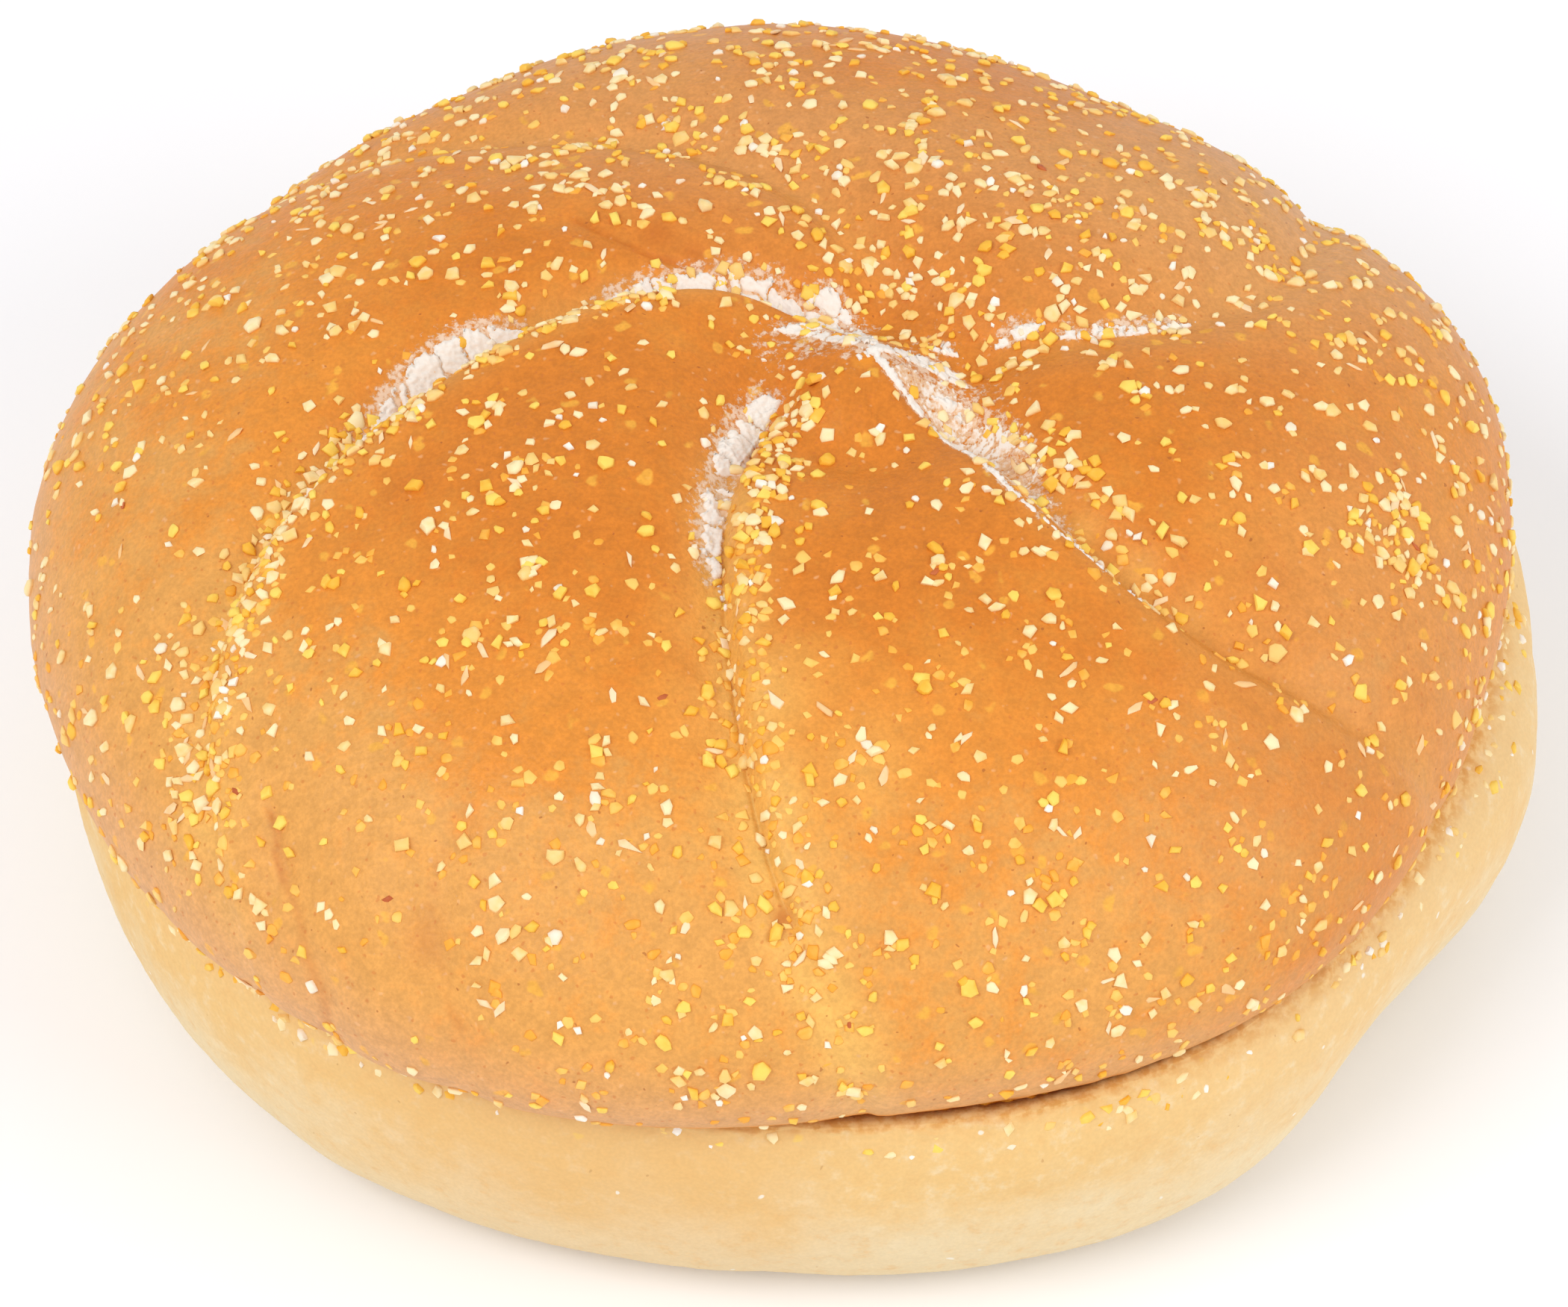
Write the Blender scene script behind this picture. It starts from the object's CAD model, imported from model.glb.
import math

import bmesh
import bpy
import numpy as np
from mathutils import Matrix, Vector, noise


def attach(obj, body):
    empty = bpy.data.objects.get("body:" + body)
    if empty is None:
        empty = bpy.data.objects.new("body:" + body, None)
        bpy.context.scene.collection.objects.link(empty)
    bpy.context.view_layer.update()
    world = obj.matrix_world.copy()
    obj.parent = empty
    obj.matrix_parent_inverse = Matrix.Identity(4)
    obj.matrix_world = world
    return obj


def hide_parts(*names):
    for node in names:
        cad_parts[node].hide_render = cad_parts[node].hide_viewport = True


# Sliced kaiser roll. The crown and heel of the frame are rebuilt finer, with their folds, flour and
# corn grits, on the same forms as the solids. Metres, +Z up, sole on z = 0.

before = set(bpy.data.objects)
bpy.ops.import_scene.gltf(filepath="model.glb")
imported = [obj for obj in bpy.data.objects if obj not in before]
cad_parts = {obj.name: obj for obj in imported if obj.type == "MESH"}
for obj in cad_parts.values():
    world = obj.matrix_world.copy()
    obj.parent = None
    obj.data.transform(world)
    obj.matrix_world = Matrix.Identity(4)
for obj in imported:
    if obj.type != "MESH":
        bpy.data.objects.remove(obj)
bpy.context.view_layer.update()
mm = 0.001


def bell(distance, width):
    return np.exp(-((distance / width) ** 2))


def ease(value, start, end):
    step = np.clip((value - start) / (end - start), 0, 1)
    return step * step * (3 - 2 * step)


def turned(angle, other):
    # from the other angle to this one, between -pi and pi
    return (angle - other + math.pi) % (2 * math.pi) - math.pi


def towards(direction, degrees, width):
    # 1 in that direction, fading over that many degrees to both sides
    return bell(turned(direction, math.radians(degrees)), math.radians(width))


def onPlan(centre, direction, reach):
    return centre + reach[:, None] * np.column_stack([np.cos(direction), np.sin(direction)])


def unit(vectors):
    return vectors / np.linalg.norm(vectors, axis=1, keepdims=True)


def spotBell(plan, x, y, radius):
    # 1 at that place of the plan, in mm, fading over the radius
    return bell(np.hypot(*(plan - np.array((x, y)) * mm).T), radius * mm)


def strongestSpot(plan, spotList):
    tone = np.zeros(len(plan))
    for x, y, radius, most in spotList:
        tone = np.maximum(tone, most * spotBell(plan, x, y, radius))
    return tone


def periodic(values, angle):
    # smooth closed curve through evenly spaced values
    terms = np.fft.rfft(values) / len(values)
    total = np.full_like(angle, terms[0].real)
    for order, term in enumerate(terms[1:], start=1):
        share = 1.0 if 2 * order == len(values) else 2.0
        total += share * (term.real * np.cos(order * angle) - term.imag * np.sin(order * angle))
    return total


def curveThrough(points, count):
    # a Catmull-Rom curve through the points
    points = np.array(points, float)
    points = np.vstack([2 * points[0] - points[1], points, 2 * points[-1] - points[-2]])
    step = np.linspace(0, len(points) - 3 - 1e-9, count)
    at = step.astype(int)
    t = (step - at)[:, None]
    a, b, c, d = (points[at + i] for i in range(4))
    return 0.5 * (2 * b + (c - a) * t + (2 * a - 5 * b + 4 * c - d) * t ** 2
                  + (3 * b - a - 3 * c + d) * t ** 3)


def grainNoise(points, size, octaves, seed):
    # fractal noise, about -1 to 1, with features of that size
    scaled = np.asarray(points) / size + np.array([17.3, 5.1, 9.7]) * seed
    return np.array([noise.fractal(Vector(p), 1.0, 2.0, octaves) for p in scaled])


def unevenness(points, layers, seed):
    # noises added up, each with a size, a depth and octaves
    return sum(depth * grainNoise(points, size, octaves, seed + index)
               for index, (size, depth, octaves) in enumerate(layers))


def cellGaps(points, size, seed):
    # 0 on the borders of irregular cells, growing inwards
    scaled = np.asarray(points) / size + np.array([3.7, 11.1, 2.3]) * seed
    near = np.array([noise.voronoi(Vector(p))[0][:2] for p in scaled])
    return near[:, 1] - near[:, 0]


def gridFaces(rows, columns, closed):
    # quads between rows of points; in closed rows the last point joins the first
    steps = np.arange(columns if closed else columns - 1)
    row, column = np.meshgrid(np.arange(rows - 1), steps, indexing="ij")
    after = (column + 1) % columns
    return np.stack([row * columns + column, row * columns + after,
                     (row + 1) * columns + after, (row + 1) * columns + column], axis=-1).reshape(-1, 4)


def fanFaces(tip, start, count, flip):
    # triangles from a tip to the closed ring that begins at the start
    around = np.arange(count)
    after = (around + 1) % count
    first, second = (after, around) if flip else (around, after)
    return np.column_stack([np.full(count, tip), start + first, start + second])


def table(keys, *rows):
    # a dictionary per row; what a row leaves out comes last
    return [dict(zip(keys.split(), row)) for row in rows]


def addObject(name, data):
    thing = bpy.data.objects.new(name, data)
    bpy.context.scene.collection.objects.link(thing)
    return thing


def makePiece(name, points, faces, material, nodes=()):
    data = bpy.data.meshes.new(name)
    data.from_pydata(np.asarray(points).tolist(), [], [list(map(int, face)) for face in faces])
    data.validate()
    data.materials.append(material)
    data.shade_smooth()
    piece = addObject(name, data)
    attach(piece, "root")
    if nodes:
        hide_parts(*nodes)
    print(name, len(data.vertices), "points", len(data.polygons), "faces")
    return piece


def paint(piece, name, values):
    # a number per point, which the material reads by name
    layer = piece.data.attributes.new(name, "FLOAT", "POINT")
    layer.data.foreach_set("value", np.asarray(values, np.float32))


# The roll's form, as in the solids

sliceForm = {
    "height": 0.0230,
    "gap": 0.0004,
    "gape": 0.0011,                 # how much wider the gap is at the front, in this direction
    "direction": math.radians(-105),
    "run": (0.035, 0.050),
}

crownForm = {
    "height": 0.0504,
    "power": 2.35,
    "stamp": np.array([0.0050, -0.0002]),
    "reach": (0.0478, 0.0492, 0.0465, 0.0503, 0.0534, 0.0580,
              0.0614, 0.0598, 0.0562, 0.0504, 0.0492, 0.0476),
    "tuck": 0.042,
    "tuckPower": 9,
    "dimple": (0.0015, 0.0052),     # depth, radius
    "crowding": 0.78,
    "rings": 170,
    "stepsPerPetal": 110,
}

# turn is in degrees at these distances from the stamp, rim how much of a cut is left at the rim,
# overlap the side whose dough lies on top, gold how yellow the bake is beside it
cutStations = (0.006, 0.020, 0.036, 0.054)
cuts = table(
    "turn depth valley rim lip steep overlap crease creaseRun gold",
    ((18, 15, 26, 56), 0.0009, 0.0019, 0.60, 0.0004, 0.0022, -1, 0.0, (0.020, 0.030), 0.2),
    ((78, 105, 129, 148), 0.0010, 0.0020, 0.35, 0.0004, 0.0020, 1, 0.0, (0.020, 0.030), 0.2),
    ((106, 159, 186, 212), 0.0019, 0.0013, 0.12, 0.0006, 0.0009, 1, 0.0001, (0.020, 0.040), 0.6),
    ((203, 240, 257, 275), 0.0017, 0.0015, 0.20, 0.0005, 0.0008, 1, 0.0002, (0.014, 0.045), 0.9),
    ((328, 316, 320, 334), 0.0020, 0.0015, 0.15, 0.0009, 0.0011, -1, 0.0, (0.018, 0.040), 0.3),
)
cutRuns = {"in": (0.001, 0.010), "out": (0.55, 1.0)}
cutWidths = {"gentle": 0.0030, "valley": 0.0085, "setback": 0.0030, "crease": 0.00025}

folds = table(      # paths in mm on the plan; a broad dent with a thin crease at its bottom
    "path depth width crease",
    (((-36.0, -32.4), (-35.3, -33.9), (-35.5, -35.0), (-34.9, -36.6)), 0.45, 1.8, 0.22),
    (((-34.9, -36.6), (-33.7, -39.2), (-33.4, -40.9), (-31.9, -43.2)), 0.35, 1.8, 0.12),
    (((-23.9, -37.8), (-24.9, -42.0), (-22.8, -46.8)), 0.5, 2.1, 0.12),
    (((-15.7, 14.8), (-10.6, 11.5), (-7.0, 10.8)), 0.5, 2.0, 0.22),
    (((30.0, -24.7), (34.7, -26.2), (39.6, -25.3)), 0.6, 2.2, 0.04),
)
foldCrease = 0.25 * mm      # width of their creases


def cutDirection(cut, reach):
    return np.polyval(np.polyfit(cutStations, np.radians(cut["turn"]), 3), reach)


def petalDirection(place, reach):
    first = np.floor(place).astype(int) % len(cuts)
    across = place - np.floor(place)
    across -= crownForm["crowding"] / (2 * math.pi) * np.sin(2 * math.pi * across)
    lines = np.array([cutDirection(cut, reach) for cut in cuts])
    lines = np.concatenate([lines, lines[:1] + 2 * math.pi])
    column = np.arange(len(place))
    return lines[first, column] * (1 - across) + lines[first + 1, column] * across


def cutAside(cut, direction, reach):
    # signed distance from a cut, positive on the side that overlaps
    return cut["overlap"] * reach * np.sin(np.clip(turned(direction, cutDirection(cut, reach)), -1.5, 1.5))


def crownRelief(direction, reach, rim):
    depth, radius = crownForm["dimple"]
    sunk = depth * bell(reach, radius)
    for cut in cuts:
        aside = cutAside(cut, direction, reach)
        run = ease(reach, *cutRuns["in"]) * (1 - (1 - cut["rim"]) * ease(reach / rim, *cutRuns["out"]))
        notch = np.where(aside > 0, bell(aside, cut["steep"]), bell(aside, cutWidths["gentle"]))
        lip = bell(aside - cutWidths["setback"], cutWidths["setback"])
        valley = bell(aside, cutWidths["valley"])
        sunk += run * (cut["depth"] * notch + cut["valley"] * valley - cut["lip"] * lip)
        start, end = cut["creaseRun"]
        creaseRun = ease(reach, start, start + 4 * mm) * (1 - ease(reach, end - 4 * mm, end))
        sunk += cut["crease"] * creaseRun * bell(aside, cutWidths["crease"])
    return sunk


def foldDistance(points, fold):
    path, plan = np.array(fold["path"]) * mm, points[:, :2]
    nearest = np.full(len(plan), np.inf)
    for start, end in zip(path, path[1:]):
        line = end - start
        along = np.clip((plan - start) @ line / (line @ line), 0, 1)
        nearest = np.minimum(nearest, np.linalg.norm(plan - start - along[:, None] * line, axis=1))
    return nearest


def foldRelief(points):
    sunk = np.zeros(len(points))
    for fold in folds:
        away = foldDistance(points, fold)
        dent, crease = bell(away, fold["width"] * mm), bell(away, foldCrease)
        sunk += fold["depth"] * mm * dent + fold["crease"] * mm * crease
    return sunk


def sliceGap(x, y):
    ahead = x * math.cos(sliceForm["direction"]) + y * math.sin(sliceForm["direction"])
    return sliceForm["gap"] + sliceForm["gape"] * ease(ahead, *sliceForm["run"])


def crownCutFace(x, y):
    return sliceForm["height"] + sliceGap(x, y)


def heelCutFace(x, y):
    return np.full_like(x, sliceForm["height"])


crownSkin = {
    "layers": ((9 * mm, 0.16 * mm, 2), (2.2 * mm, 0.06 * mm, 3), (0.8 * mm, 0.025 * mm, 2)),
    "seed": 1,
    "run": 3 * mm,                  # height above the cut over which the unevenness sets in
    "ragged": {"size": 1.6 * mm, "depth": 0.18 * mm, "inward": 0.10 * mm, "run": 2.5 * mm},
    "crumbInset": 0.9 * mm,         # crust shown round the cut face
    "crumbRecess": 0.7 * mm,
    "faceRadius": 0.050,
    "faceRings": 10,
}


def skinRelief(points):
    sunk = unevenness(points, crownSkin["layers"], crownSkin["seed"])
    return sunk * ease(points[:, 2], sliceForm["height"], sliceForm["height"] + crownSkin["run"])


def recessedFace(rim, centre, form, faceHeight, up):
    # the rings of a cut face: the crust's edge, then the recess that holds the crumb
    rings = []
    for ring in range(form["faceRings"]):
        inward = 1 - form["crumbInset"] / form["faceRadius"] if ring < 2 else 1 - ring / form["faceRings"]
        points = centre + (rim - centre) * (inward, inward, 1)
        points[:, 2] = faceHeight(points[:, 0], points[:, 1]) + up * (form["crumbRecess"] if ring else 0)
        rings.append(points)
    return rings


def crownSurface(direction, share, level, extra):
    # points on the crust, from the direction and the shares of the way to the rim and of the height
    rim = periodic(crownForm["reach"], direction)
    reach = share * rim
    power = crownForm["power"]
    dome = crownForm["height"] - sliceForm["height"]
    outward = share ** (power - 1) / rim
    upward = level ** (power - 1) / dome
    steepness = np.hypot(outward, upward)
    along = reach * (1 - crownForm["tuck"] * (1 - level) ** crownForm["tuckPower"] * share)
    plain = np.column_stack([onPlan(crownForm["stamp"], direction, along), sliceForm["height"] + dome * level])
    sunk = crownRelief(direction, reach, rim) + foldRelief(plain)
    if extra is not None:
        sunk = sunk + extra(plain)
    x, y = onPlan(crownForm["stamp"], direction, along - sunk * outward / steepness * share).T
    floor = crownCutFace(x, y)
    z = np.maximum(floor + (crownForm["height"] - floor) * level - sunk * upward / steepness, floor)
    return np.column_stack([x, y, z])


def crustAbove(plan, extra=None):
    # the crust over these points of the plan
    away = plan - crownForm["stamp"]
    direction = np.arctan2(away[:, 1], away[:, 0])
    share = np.clip(np.hypot(*away.T) / periodic(crownForm["reach"], direction), 1e-4, 0.999)
    level = (1 - share ** crownForm["power"]) ** (1 / crownForm["power"])
    return crownSurface(direction, share, level, extra)


def crustNormals(plan):
    step = 0.15 * mm
    here = crustAbove(plan)
    normal = np.cross(crustAbove(plan + (step, 0)) - here, crustAbove(plan + (0, step)) - here)
    return unit(normal)


# Flour. A stroke follows a cut outwards, or a path of its own, in mm on the plan, and spreads to one side

flourStrokes = table(       # all in mm; cell is the size of the cracks
    "cut run width thick rag cell tone seed offset",
    (2, (9.0, 20.8), (1.1, 1.6, 2.0, 2.1, 2.1, 2.0, 1.8, 1.4, 1.0, 0.3), 0.45, 0.4, 2.2, 0.05, 1),
    (2, (5.2, 9.4), (0.5, 1.0, 1.8, 1.3), 0.34, 1.0, 1.5, 0.0, 16),
    (2, (23.4, 39.0), (0.2, 1.4, 2.4, 2.9, 2.8, 2.4, 1.8, 1.3, 0.8, 0.4, 0.1), 0.45, 0.4, 2.3, 0.05, 2),
    (2, (18.6, 24.6), (0.4, 0.4, 0.5), 0.16, 0.5, 1.2, -0.1, 9),
    (3, (5.6, 22.5), (1.8, 2.2, 2.2, 2.1, 1.9, 1.8, 1.5, 0.9, 0.1), 0.5, 0.4, 2.4, 0.05, 3,
     (0.9, 0.4, 0.0, -0.2, -0.2, 0.0, 0.1, 0.1, 0.1)),
) + table(
    "path width thick rag cell tone seed",
    (((6.8, -0.8), (9.4, -3.1), (12.3, -6.9), (14.8, -11.0), (17.2, -13.6), (19.8, -16.0)),
     (1.4, 3.0, 3.8, 3.6, 2.4, 1.2, 0.1), 0.13, 1.9, 0.7, -0.5, 4),
    (((5.2, 0.9), (6.6, -1.4), (8.8, -3.9), (11.8, -7.7), (14.3, -11.8), (16.8, -14.6), (19.4, -16.9),
      (21.6, -18.6), (24.4, -20.6)),
     (0.7, 0.85, 0.85, 0.8, 0.7, 0.6, 0.5, 0.4, 0.2), 0.3, 0.2, 8.0, 0.15, 5),
    (((0.8, 8.8), (2.2, 8.3), (3.4, 7.4), (4.1, 5.9), (4.5, 3.6), (4.9, 1.6)),
     (0.8, 1.5, 0.9, 0.9, 1.3, 0.9), 0.34, 0.7, 1.5, 0.0, 6),
    (((-1.5, 4.6), (0.9, 3.9), (2.6, 2.6), (4.4, 1.4)), (0.6, 1.5, 1.5, 0.9), 0.26, 0.9, 1.4, -0.05, 18),
    (((4.6, -0.2), (6.2, 0.6), (8.2, 1.2)), (0.7, 1.5, 0.4), 0.34, 0.9, 1.6, 0.0, 15),
    (((6.4, 1.6), (8.4, 1.1), (10.6, 0.5), (12.4, 0.1)), (0.8, 1.7, 1.6, 0.4), 0.24, 1.1, 1.0, -0.12, 17),
    (((9.6, -1.6), (10.8, -2.2), (11.8, -3.0)), (0.4, 1.4, 0.3), 0.5, 0.4, 5.0, 0.1, 11),
    (((9.4, 3.8), (10.6, 3.6), (12.2, 3.4)), (0.3, 0.9, 0.2), 0.34, 0.9, 1.4, 0.0, 14),
    (((14.4, 3.9), (15.6, 4.0), (17.0, 4.5), (18.1, 5.3)), (0.6, 1.3, 1.2, 0.4), 0.42, 0.3, 7.0, 0.05, 7),
    (((19.0, 4.0), (21.0, 4.1), (22.9, 4.4), (25.4, 5.1), (27.5, 5.9), (29.8, 7.1)),
     (0.7, 1.1, 1.1, 1.0, 0.8, 0.2), 0.32, 0.9, 1.8, 0.0, 8),
    (((-10.4, 27.6), (-9.6, 27.5), (-8.8, 27.4)), (0.2, 0.8, 0.2), 0.35, 0.6, 4.0, 0.0, 10),
)

flourForm = {
    "offset": (0.1, 0.1),                       # mm beside the cut, for strokes that name none
    "spacing": 0.11 * mm,
    "margins": (0.4 * mm, 0.9 * mm),            # how far the sheet goes past both edges
    "noises": ((1.0 * mm, 2), (2.4 * mm, 2), (0.30 * mm, 3)),   # lumps, body, powder: size and octaves
    "edges": (0.15 * mm, 0.40 * mm),            # softness at the cut and at the far side
    "cracks": (0.015, 0.10, 0.25),              # from, to, what is left in them
    "bury": 0.45,                               # share of the thickness under the crust
    "shown": -0.12,                             # quads wholly lower than this are left out
    "wall": 0.22 * mm,
}

looseFlour = (   # x, y and radius in mm, how much
    (4.8, 2.4, 3.2, 0.85), (1.2, 3.2, 2.8, 0.8), (-1.4, 3.0, 2.8, 0.62), (8.4, 1.0, 3.2, 0.84),
    (9.6, 4.2, 3.0, 0.5), (12.4, -1.0, 3.2, 0.66), (5.2, 6.4, 1.8, 0.5), (0.6, 6.0, 1.8, 0.5),
)

looseForm = {       # the powder on and beside the strokes
    "start": (-0.5 * mm, 0.1 * mm),
    "past": 1.6 * mm,
    "ends": (0.2 * mm, 1.2 * mm),
    "widths": (0.1 * mm, 0.9 * mm),
    "search": 5 * mm,
    "most": 0.76,
}


def cutPath(cut, run, offset):
    # along a cut, beside it by the offset: positive on the floury side
    reach = np.linspace(*run, 60) * mm
    direction = cutDirection(cut, reach)
    line = onPlan(crownForm["stamp"], direction, reach)
    heading = unit(np.gradient(line, axis=0))
    flourSide = np.column_stack([heading[:, 1], -heading[:, 0]]) * cut["overlap"]
    beside = np.interp(np.linspace(0, 1, 60), np.linspace(0, 1, len(offset)), offset)
    return line + flourSide * beside[:, None] * mm


def strokeCurve(stroke):
    side = 1
    if "cut" in stroke:
        cut = cuts[stroke["cut"]]
        line = cutPath(cut, stroke["run"], stroke.get("offset", flourForm["offset"]))
        side = -cut["overlap"]
    else:
        line = curveThrough(stroke["path"], 60) * mm
    widths = curveThrough([(width, 0) for width in stroke["width"]], 60)[:, :1] * mm
    rough = np.column_stack([line, widths])
    length = np.concatenate([[0], np.cumsum(np.linalg.norm(np.diff(line, axis=0), axis=1))])
    even = np.arange(0, length[-1], flourForm["spacing"])
    curve = np.column_stack([np.interp(even, length, rough[:, i]) for i in range(3)])
    heading = unit(np.gradient(curve[:, :2], axis=0))
    across = np.column_stack([-heading[:, 1], heading[:, 0]]) * side
    return even, curve, across, side


def flourSmear(stroke):
    along, curve, across, side = strokeCurve(stroke)
    before, past = flourForm["margins"]
    aside = np.arange(-before, curve[:, 2].max() + past, flourForm["spacing"])
    plan = (curve[:, None, :2] + across[:, None] * aside[None, :, None]).reshape(-1, 2)
    width = np.repeat(curve[:, 2], len(aside))
    a = np.tile(aside, len(curve))
    s = np.repeat(along, len(aside))
    ground, normal = crustAbove(plan, skinRelief), crustNormals(plan)
    lumps, body, powder = (grainNoise(ground, size, octaves, stroke["seed"] + 20 * index)
                           for index, (size, octaves) in enumerate(flourForm["noises"]))
    softCut, softFar = flourForm["edges"]
    lower = (a + 0.10 * mm * powder + 0.12 * mm * lumps) / softCut
    upper = (width - a) / softFar + stroke["rag"] * (2.2 * lumps + 0.7 * powder) + 0.4 * powder
    warped = np.column_stack([s + 0.5 * mm * body + 0.15 * mm * powder, 0.38 * a + 0.2 * mm * lumps, 0 * a])
    start, end, left = flourForm["cracks"]
    whole = ease(cellGaps(warped, stroke["cell"] * mm, stroke["seed"]), start, end)
    cover = ease(np.minimum(lower, upper), 0.0, 1.0) * (left + (1 - left) * whole)
    height = cover * (1 + 0.40 * body + 0.30 * powder) - flourForm["bury"]
    top = ground + normal * (height * stroke["thick"] * mm)[:, None]
    return top, normal, height, gridFaces(len(curve), len(aside), False), side


def makeFlour(material):
    points, faces, tones, offset = [], [], [], 0
    for stroke in flourStrokes:
        top, normal, height, quads, side = flourSmear(stroke)
        quads = quads[(height[quads] > flourForm["shown"]).any(axis=1)]
        used, quads = np.unique(quads, return_inverse=True)
        quads = quads.reshape(-1, 4)[:, ::-side]
        top, normal, count = top[used], normal[used], len(used)
        edges = np.vstack([quads[:, [i, (i + 1) % 4]] for i in range(4)])
        _, index, times = np.unique(np.sort(edges, axis=1), axis=0, return_index=True, return_counts=True)
        rim = edges[index[times == 1]]
        walls = np.column_stack([rim[:, 1], rim[:, 0], rim[:, 0] + count, rim[:, 1] + count])
        points.append(np.vstack([top, top - normal * flourForm["wall"]]))
        faces.append(np.vstack([quads, quads[:, ::-1] + count, walls]) + offset)
        tones.append(np.tile(height[used] + stroke["tone"], 2))
        offset += 2 * count
    piece = makePiece("flour_dusting", np.vstack(points), np.vstack(faces), material)
    paint(piece, "tone", np.concatenate(tones))


def flourDust(plan):
    # how much loose powder lies on the crust
    dust = strongestSpot(plan, looseFlour)
    for stroke in flourStrokes:
        _, curve, across, _ = strokeCurve(stroke)
        curve, across = curve[::5], across[::5]
        low = curve[:, :2].min(axis=0) - looseForm["search"]
        high = curve[:, :2].max(axis=0) + looseForm["search"]
        near = np.flatnonzero(((plan > low) & (plan < high)).all(axis=1))
        gaps = plan[near, None] - curve[None, :, :2]
        closest = np.argmin((gaps ** 2).sum(2), axis=1)
        gap = gaps[np.arange(len(near)), closest]
        aside, width = (gap * across[closest]).sum(1), curve[closest, 2]
        beyond = np.abs(gap[:, 0] * across[closest, 1] - gap[:, 1] * across[closest, 0])
        amount = ease(aside, *looseForm["start"]) * (1 - ease(aside, width, width + looseForm["past"]))
        amount *= (1 - ease(beyond, *looseForm["ends"])) * ease(width, *looseForm["widths"])
        dust[near] = np.maximum(dust[near], looseForm["most"] * amount)
    return dust


# Spots where the bake shows: darker at creases and dents, yellower where sunk grits have melted in

burntSpots = (   # x, y and radius in mm, how much
    (-9.8, 13.3, 1.2, 0.45), (-7.2, 11.6, 1.0, 0.4), (-25.0, -42.6, 1.5, 0.3), (-0.8, -42.8, 0.8, 0.7),
    (29.7, -21.8, 1.8, 0.25), (32.6, -22.9, 1.8, 0.3), (36.5, -29.0, 13.0, 0.28),
    (23.6, -16.7, 1.9, 0.1), (27.2, -19.6, 1.7, 0.2),
)
yellowSpots = (   # the same
    (-0.8, -42.8, 0.8, 0.5), (20.0, -13.6, 1.7, 0.6), (23.6, -16.7, 1.9, 0.7), (27.2, -19.6, 1.7, 0.6),
    (-40.9, -31.0, 2.6, 0.8), (-40.5, -24.5, 2.6, 0.6), (-38.5, -15.0, 2.0, 0.4),
    (-3.0, -29.0, 4.5, 0.8), (4.5, -34.0, 3.5, 0.5), (-2.0, -36.0, 4.5, 0.8), (-5.2, -23.0, 3.2, 0.6),
)

crownPaint = {      # directions in degrees, runs in shares of the way to the rim
    "pale": {"towards": -125, "run": (0.38, 0.92), "all": 0.16, "front": 0.90},
    "clouds": (11 * mm, 0.12),
    "dull": {"towards": 72, "fade": (0.15, 0.9), "run": (0.10, 0.75), "most": 0.9},
    "lessDull": {"towards": (84, 30), "run": (0.45, 0.68), "most": 0.8},
    "rightDull": {"towards": (-20, 28), "run": (0.45, 0.85), "most": 0.36},
    "creaseBurn": 2.2,
    "gold": (2.8 * mm, (8 * mm, 16 * mm)),      # beside the cuts: width, distance from the stamp
    "edge": {"run": (0.2 * mm, 1.1 * mm), "closed": 0.4, "open": 0.5, "inside": 0.9},
}


def crownGrid():
    rings, steps = crownForm["rings"], len(cuts) * crownForm["stepsPerPetal"]
    slope = np.linspace(0, math.pi / 2, rings + 1)[1:]
    share = np.repeat(np.sin(slope) ** (2 / crownForm["power"]), steps)
    level = np.repeat(np.clip(np.cos(slope), 0, 1) ** (2 / crownForm["power"]), steps)
    place = np.tile(np.arange(steps) / crownForm["stepsPerPetal"], rings)
    direction = petalDirection(place, share * np.mean(crownForm["reach"]))
    for _ in range(3):
        direction = petalDirection(place, share * periodic(crownForm["reach"], direction))
    return direction, share, level, rings, steps


def dullness(direction, share):
    main, less, right = crownPaint["dull"], crownPaint["lessDull"], crownPaint["rightDull"]
    facing = np.cos(turned(direction, math.radians(main["towards"])))
    dull = main["most"] * ease(share, *main["run"]) * ease(facing, *main["fade"])
    dull *= 1 - less["most"] * ease(share, *less["run"]) * towards(direction, *less["towards"])
    return np.maximum(dull, right["most"] * ease(share, *right["run"]) * towards(direction, *right["towards"]))


def paintCrown(piece, dome, direction, share):
    pale, edge = crownPaint["pale"], crownPaint["edge"]
    size, amount = crownPaint["clouds"]
    front = 0.5 + 0.5 * np.cos(turned(direction, math.radians(pale["towards"])))
    bake = 1 - ease(share, *pale["run"]) * (pale["all"] + pale["front"] * front)
    bake += amount * grainNoise(dome, size, 2, 12)
    burnt = strongestSpot(dome[:, :2], burntSpots)
    for fold in folds:
        crease = bell(foldDistance(dome, fold), foldCrease)
        burnt = np.maximum(burnt, crownPaint["creaseBurn"] * fold["crease"] * crease)
    width, run = crownPaint["gold"]
    reach = share * periodic(crownForm["reach"], direction)
    yellow = strongestSpot(dome[:, :2], yellowSpots)
    for cut in cuts:
        beside = bell(cutAside(cut, direction, reach), width)
        yellow = np.maximum(yellow, cut["gold"] * beside * ease(reach, *run))
    gap = sliceGap(dome[:, 0], dome[:, 1])
    opening = (gap - sliceForm["gap"]) / sliceForm["gape"]
    low = 1 - ease(dome[:, 2] - sliceForm["height"] - gap, *edge["run"])
    tones = {"edge": low * (edge["closed"] + edge["open"] * opening), "bake": bake,
             "dull": dullness(direction, share), "burnt": burnt, "yellow": yellow,
             "flour": flourDust(dome[:, :2])}
    inside = np.zeros(len(piece.data.vertices) - len(dome))
    for name, values in tones.items():
        paint(piece, name, np.append(values, inside + (edge["inside"] if name == "edge" else 0)))


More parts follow.
